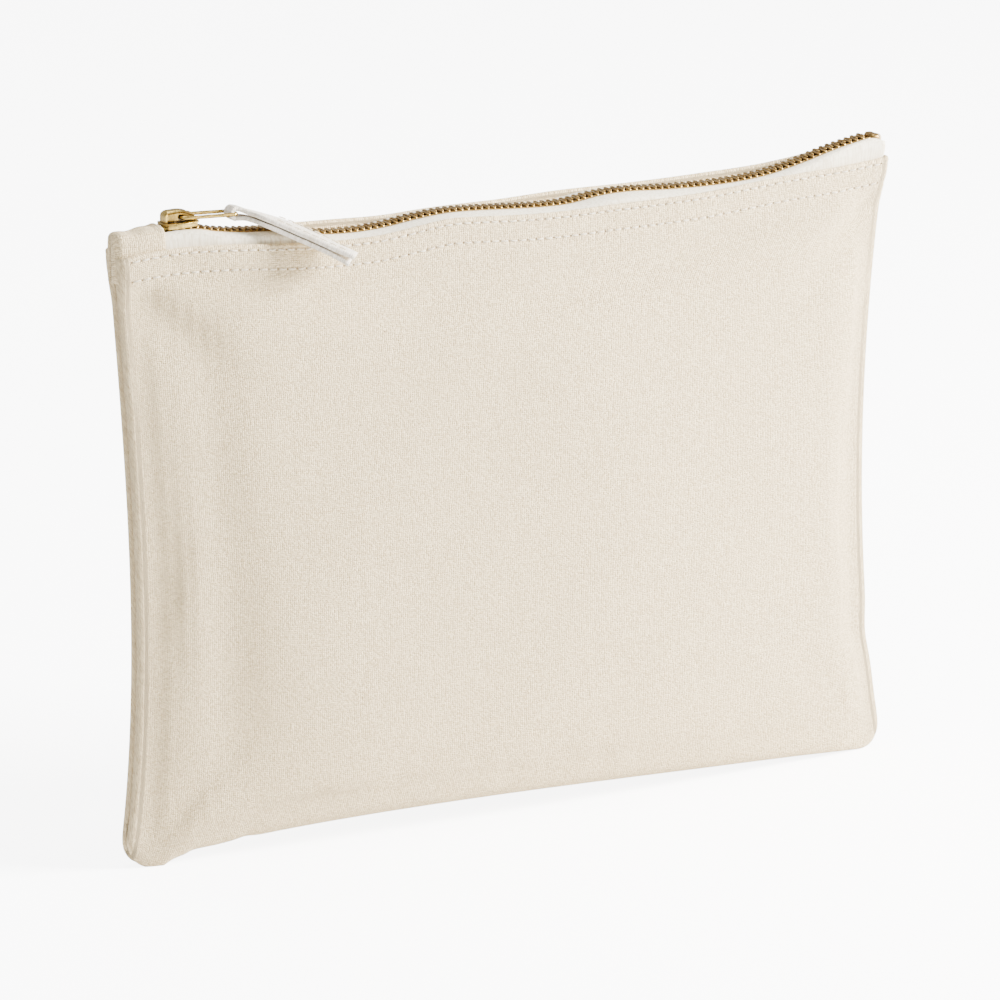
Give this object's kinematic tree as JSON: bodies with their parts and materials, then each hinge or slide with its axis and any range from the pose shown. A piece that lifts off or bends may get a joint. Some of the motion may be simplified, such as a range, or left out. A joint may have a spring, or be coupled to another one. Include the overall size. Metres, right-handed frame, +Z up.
{
  "type": "zippered pouch",
  "caption": "Flat canvas pouch with a metal-toothed zip along its top edge, a lock slider and a folded fabric pull tab.",
  "frame": {"origin": "middle of the whole footprint, on the surface that the pouch stands on", "axes": "+X along the zip, from the end where the slider parks when shut towards the other; the front panel, with the pull tab in front of it, faces -Y; +Z up"},
  "size_m": [0.25, 0.0392, 0.1888],
  "materials": {
    "canvas": "undyed plain-weave cotton canvas, matte, with slubs",
    "zip_tape": "white ribbed cotton zip tape, matte",
    "thread": "undyed cotton sewing thread",
    "teeth": "antiqued brass, golden brown, satin with dark recesses",
    "slider": "polished brass, lightly worn"
  },
  "bodies": {
    "pouch": {"front_panel": "canvas", "back_panel": "canvas", "zip_end_cover": "canvas", "top_stop_front": "teeth", "top_stop_back": "teeth", "bottom_stop": "teeth", "front_topstitch_upper": "thread", "front_topstitch_lower": "thread", "back_topstitch_upper": "thread", "back_topstitch_lower": "thread", "left_seam_thread": "thread", "right_seam_thread": "thread", "bottom_seam_thread": "thread", "left_seam_overlock": "thread", "right_seam_overlock": "thread", "bottom_seam_overlock": "thread"},
    "front_mouth": {"zip_tape_front": "zip_tape", "zip_teeth_front": "teeth"},
    "back_mouth": {"zip_tape_back": "zip_tape", "zip_teeth_back": "teeth"},
    "slider": {"slider_body": "slider", "slider_cap": "slider", "slider_lock_spring": "slider"},
    "link": {"pull_link": "slider"},
    "tab": {"pull_tab": "canvas", "tab_tack": "thread"}
  },
  "joints": [
    {"name": "zip_slide", "type": "slide", "parent": "pouch", "child": "slider", "axis": [1, 0, 0], "range_m": [0, 0.21], "deforming": ["zip_tape_front", "zip_tape_back", "zip_teeth_front", "zip_teeth_back"]},
    {"name": "front_open", "type": "hinge", "parent": "pouch", "child": "front_mouth", "pos_m": [0, 0.00363, 0.004], "axis": [1, 0, 0], "range_deg": [0, 9]},
    {"name": "back_open", "type": "hinge", "parent": "pouch", "child": "back_mouth", "pos_m": [0, 0.00363, 0.004], "axis": [-1, 0, 0], "range_deg": [0, 9]},
    {"name": "link_swing", "type": "hinge", "parent": "slider", "child": "link", "pos_m": [-0.105, 0.00363, 0.1865], "axis": [0, -1, 0], "range_deg": [0, 165]},
    {"name": "tab_swing", "type": "hinge", "parent": "link", "child": "tab", "pos_m": [-0.08782, 0.00363, 0.1856], "axis": [0, -1, 0], "range_deg": [0, 60]}
  ],
  "couplings": [
    {"joint": "front_open", "follows": "zip_slide", "rad_per_m": 0.74},
    {"joint": "back_open", "follows": "zip_slide", "rad_per_m": 0.74}
  ]
}
